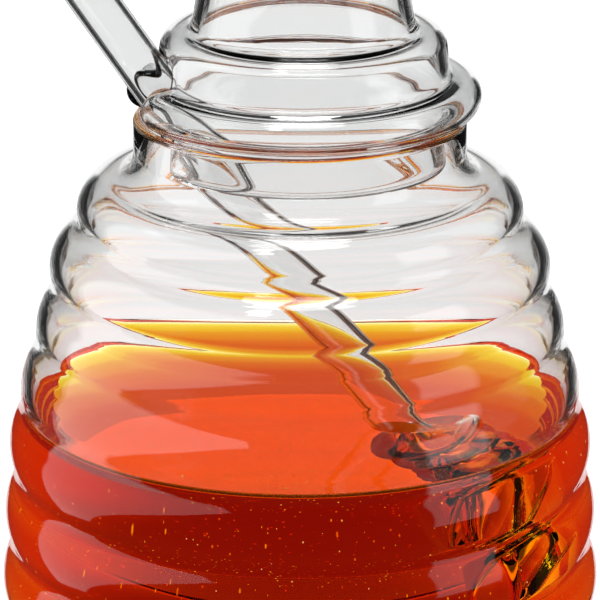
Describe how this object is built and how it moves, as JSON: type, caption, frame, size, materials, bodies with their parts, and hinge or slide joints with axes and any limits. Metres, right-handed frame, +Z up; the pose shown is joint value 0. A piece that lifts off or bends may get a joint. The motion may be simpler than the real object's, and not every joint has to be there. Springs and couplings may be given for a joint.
{
  "type": "beehive honey pot",
  "caption": "Clear glass honey pot stepped like a straw hive, filled with honey to mid height, with a hollow notched lid and a leaning ringed glass dipper.",
  "frame": {"origin": "centre of the jar's flat base", "axes": "+Z up along the jar's axis, -Y towards the front of the pot, +X to its right, with the dipper's upper end towards -X"},
  "size_m": [0.1084, 0.105, 0.1505],
  "materials": {
    "jar_glass": "clear, fire polished",
    "lid_glass": "clear, fire polished, thin and blown",
    "dipper_glass": "clear, solid rod",
    "honey": "clear deep amber liquid with fine bubbles"
  },
  "bodies": {
    "root": {"jar": "jar_glass", "lid": "lid_glass", "dipper": "dipper_glass", "honey": "honey"}
  },
  "joints": []
}
